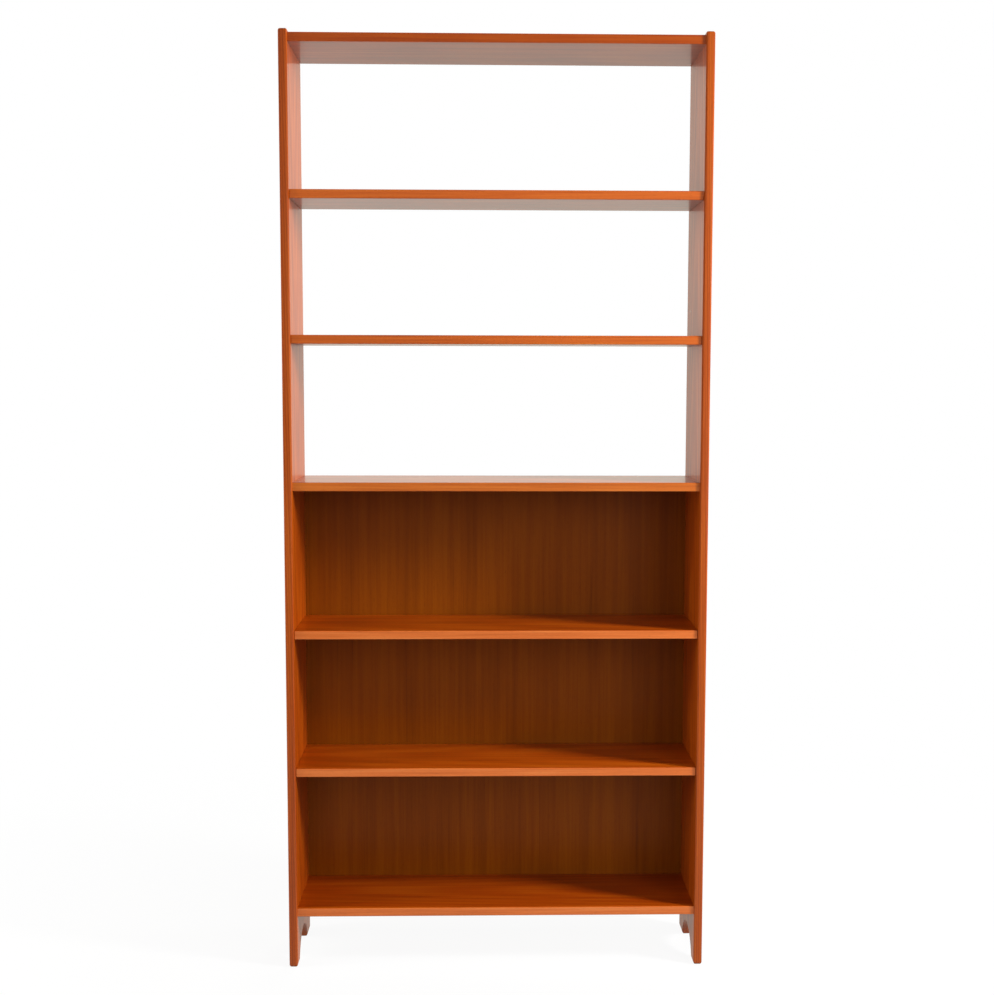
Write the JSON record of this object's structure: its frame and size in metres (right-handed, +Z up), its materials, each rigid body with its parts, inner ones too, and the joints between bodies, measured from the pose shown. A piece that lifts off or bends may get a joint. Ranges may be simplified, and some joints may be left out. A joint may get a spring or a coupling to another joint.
{
  "type": "bookcase",
  "caption": "Tall open wooden bookcase: full-height sides on arched feet, fixed boards, loose shelves that slide out forwards, and a panelled back to the lower half.",
  "frame": {"origin": "on the floor under the middle of the case", "axes": "+Z up, +X to the right seen from the front, -Y out of the open front"},
  "size_m": [0.87, 0.22, 1.925],
  "materials": {
    "solid_teak": "oiled, satin",
    "teak_veneer_board": "oiled veneer, satin",
    "teak_veneer_ply": "oiled veneer, satin",
    "beech_dowel": "plain beech",
    "steel_wire": "drawn wire"
  },
  "bodies": {
    "case": {"side_left": "solid_teak", "side_right": "solid_teak", "back_panel": "teak_veneer_ply", "top_board": "teak_veneer_board", "top_board_lipping": "solid_teak", "top_board_dowels": "beech_dowel", "middle_board": "teak_veneer_board", "middle_board_lipping": "solid_teak", "middle_board_dowels": "beech_dowel", "bottom_board": "teak_veneer_board", "bottom_board_lipping": "solid_teak", "bottom_board_dowels": "beech_dowel", "upper_high_wire_left": "steel_wire", "upper_high_wire_right": "steel_wire", "upper_low_wire_left": "steel_wire", "upper_low_wire_right": "steel_wire", "lower_high_wire_left": "steel_wire", "lower_high_wire_right": "steel_wire", "lower_low_wire_left": "steel_wire", "lower_low_wire_right": "steel_wire"},
    "upper_high_shelf": {"upper_high_shelf": "teak_veneer_board", "upper_high_shelf_lipping": "solid_teak"},
    "upper_low_shelf": {"upper_low_shelf": "teak_veneer_board", "upper_low_shelf_lipping": "solid_teak"},
    "lower_high_shelf": {"lower_high_shelf": "teak_veneer_board", "lower_high_shelf_lipping": "solid_teak"},
    "lower_low_shelf": {"lower_low_shelf": "teak_veneer_board", "lower_low_shelf_lipping": "solid_teak"}
  },
  "joints": [
    {"name": "upper_high_shelf_slide", "type": "slide", "parent": "case", "child": "upper_high_shelf", "axis": [0, -1, 0], "range_m": [0, 0.22]},
    {"name": "upper_low_shelf_slide", "type": "slide", "parent": "case", "child": "upper_low_shelf", "axis": [0, -1, 0], "range_m": [0, 0.22]},
    {"name": "lower_high_shelf_slide", "type": "slide", "parent": "case", "child": "lower_high_shelf", "axis": [0, -1, 0], "range_m": [0, 0.22]},
    {"name": "lower_low_shelf_slide", "type": "slide", "parent": "case", "child": "lower_low_shelf", "axis": [0, -1, 0], "range_m": [0, 0.22]}
  ]
}
